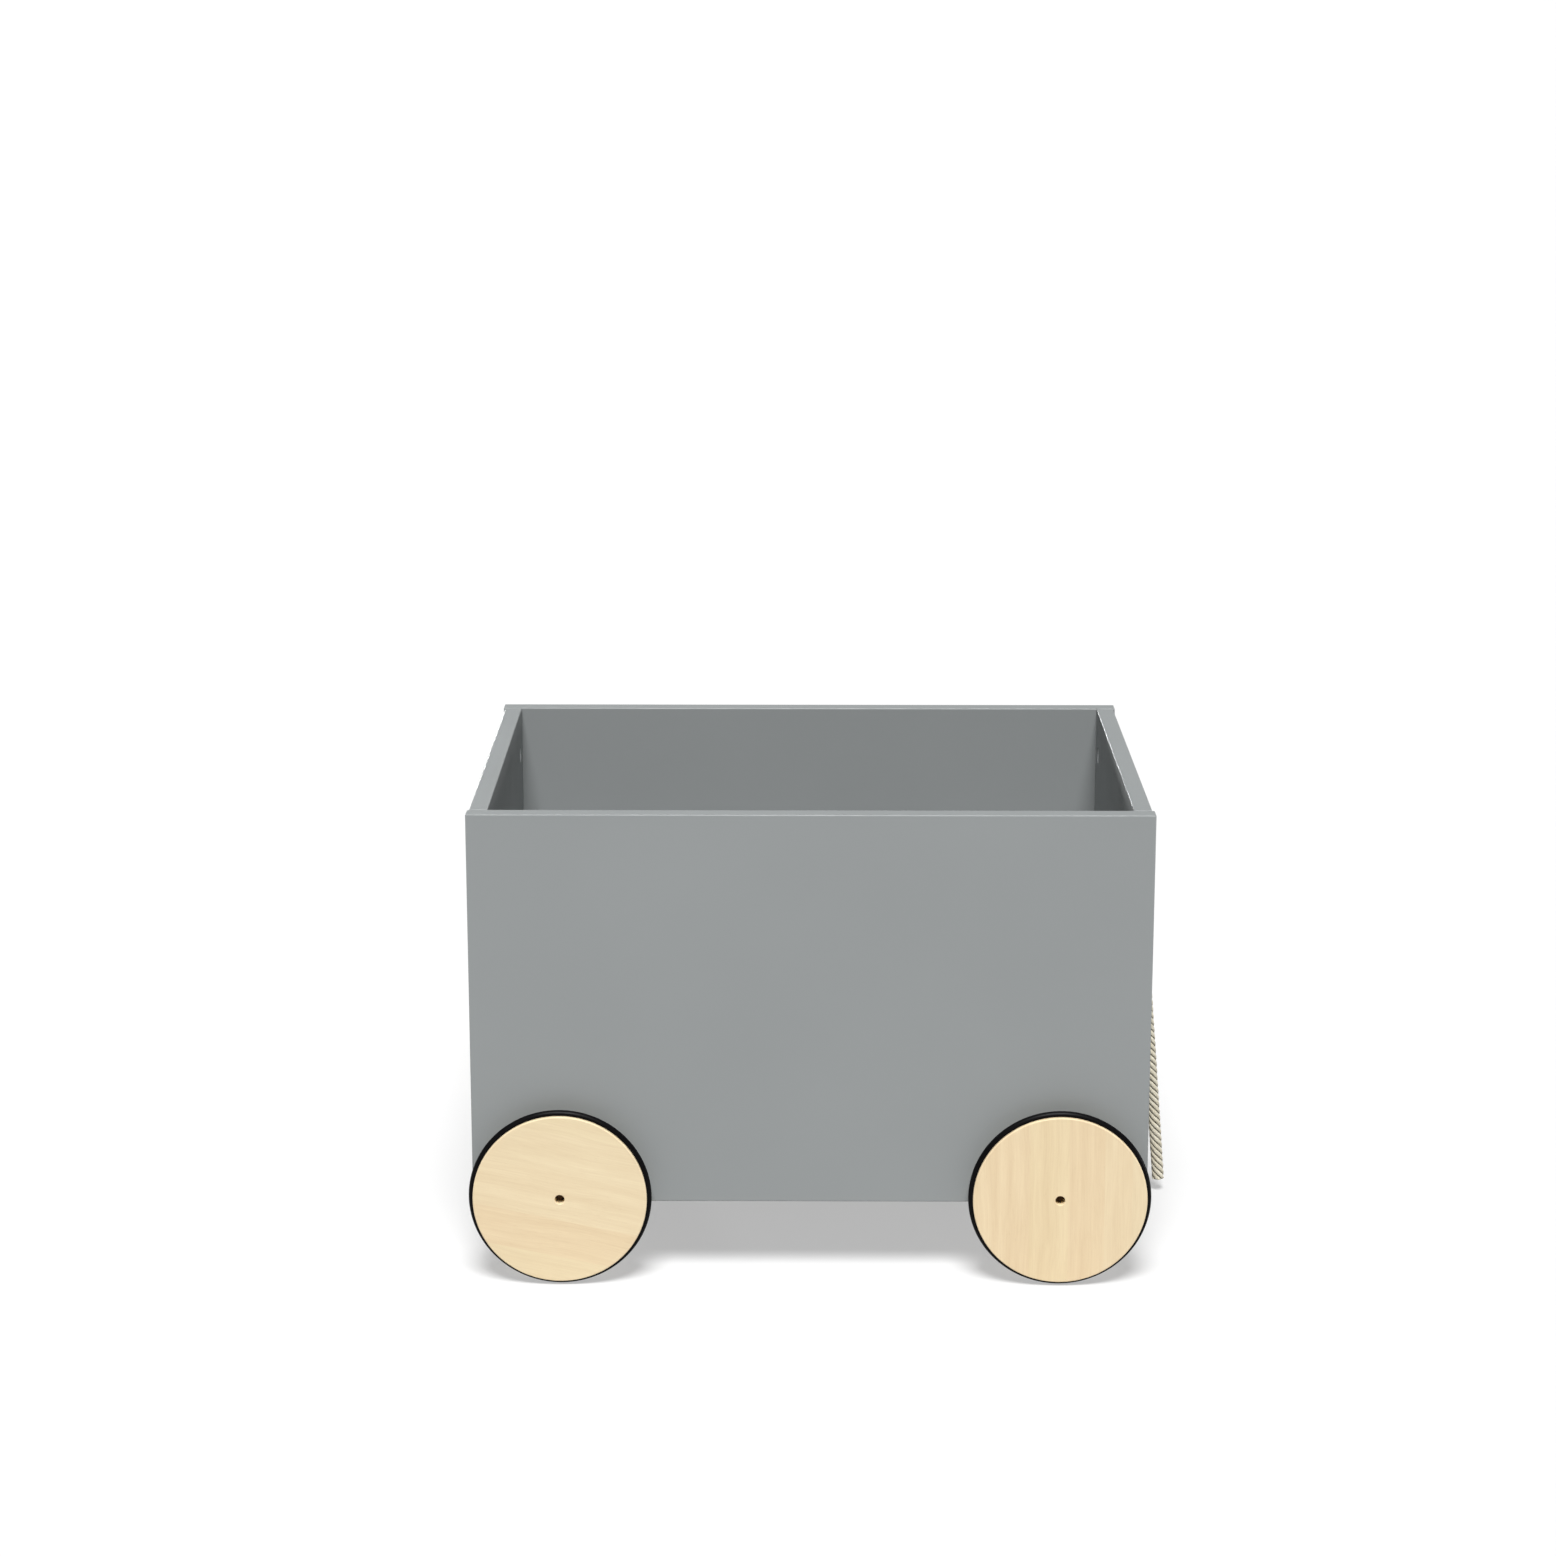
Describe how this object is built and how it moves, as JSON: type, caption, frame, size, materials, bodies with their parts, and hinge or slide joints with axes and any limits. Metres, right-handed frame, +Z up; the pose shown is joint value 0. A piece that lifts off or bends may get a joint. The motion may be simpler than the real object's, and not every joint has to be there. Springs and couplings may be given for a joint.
{
  "type": "wooden toy box on wheels",
  "caption": "Open-topped wooden toy box with painted panels, large disc wheels with thin rubber tyres on two through axles, and a twisted pull rope at one end.",
  "frame": {"origin": "on the ground, under the middle of the box", "axes": "+X to the side with the rope, -Y out of the front panel, +Z up"},
  "size_m": [0.6402, 0.448, 0.427],
  "materials": {
    "painted_board": "smooth grey satin paint",
    "wheel_wood": "pale sanded wood, clear matt lacquer",
    "bare_wood": "bare planed wood",
    "rubber": "black, matt",
    "steel": "zinc-plated",
    "zinc": "cast, tumbled",
    "nylon": "black, matt",
    "cotton": "undyed twisted cotton"
  },
  "bodies": {
    "box": {"front_panel": "painted_board", "back_panel": "painted_board", "left_side_panel": "painted_board", "right_side_panel": "painted_board", "floor_panel": "painted_board", "front_left_lower_cam": "zinc", "front_left_lower_cam_bolt": "steel", "front_left_lower_dowel": "bare_wood", "front_left_upper_cam": "zinc", "front_left_upper_cam_bolt": "steel", "front_left_upper_dowel": "bare_wood", "back_left_lower_cam": "zinc", "back_left_lower_cam_bolt": "steel", "back_left_lower_dowel": "bare_wood", "back_left_upper_cam": "zinc", "back_left_upper_cam_bolt": "steel", "back_left_upper_dowel": "bare_wood", "front_right_lower_cam": "zinc", "front_right_lower_cam_bolt": "steel", "front_right_lower_dowel": "bare_wood", "front_right_upper_cam": "zinc", "front_right_upper_cam_bolt": "steel", "front_right_upper_dowel": "bare_wood", "back_right_lower_cam": "zinc", "back_right_lower_cam_bolt": "steel", "back_right_lower_dowel": "bare_wood", "back_right_upper_cam": "zinc", "back_right_upper_cam_bolt": "steel", "back_right_upper_dowel": "bare_wood", "left_cleat": "bare_wood", "right_cleat": "bare_wood", "front_left_cleat_screw": "steel", "front_left_floor_screw": "steel", "back_left_cleat_screw": "steel", "back_left_floor_screw": "steel", "front_right_cleat_screw": "steel", "front_right_floor_screw": "steel", "back_right_cleat_screw": "steel", "back_right_floor_screw": "steel", "front_left_bush": "nylon", "back_left_bush": "nylon", "front_right_bush": "nylon", "back_right_bush": "nylon", "pull_rope": "cotton", "rope_knot": "cotton"},
    "left_wheel_set": {"left_axle": "steel", "front_left_wheel": "wheel_wood", "front_left_tyre": "rubber", "front_left_hub_spacer": "nylon", "back_left_wheel": "wheel_wood", "back_left_tyre": "rubber", "back_left_hub_spacer": "nylon"},
    "right_wheel_set": {"right_axle": "steel", "front_right_wheel": "wheel_wood", "front_right_tyre": "rubber", "front_right_hub_spacer": "nylon", "back_right_wheel": "wheel_wood", "back_right_tyre": "rubber", "back_right_hub_spacer": "nylon"}
  },
  "joints": [
    {"name": "left_axle_spin", "type": "hinge", "parent": "box", "child": "left_wheel_set", "pos_m": [-0.221, 0, 0.081], "axis": [0, 1, 0], "continuous": true},
    {"name": "right_axle_spin", "type": "hinge", "parent": "box", "child": "right_wheel_set", "pos_m": [0.221, 0, 0.081], "axis": [0, 1, 0], "continuous": true}
  ]
}
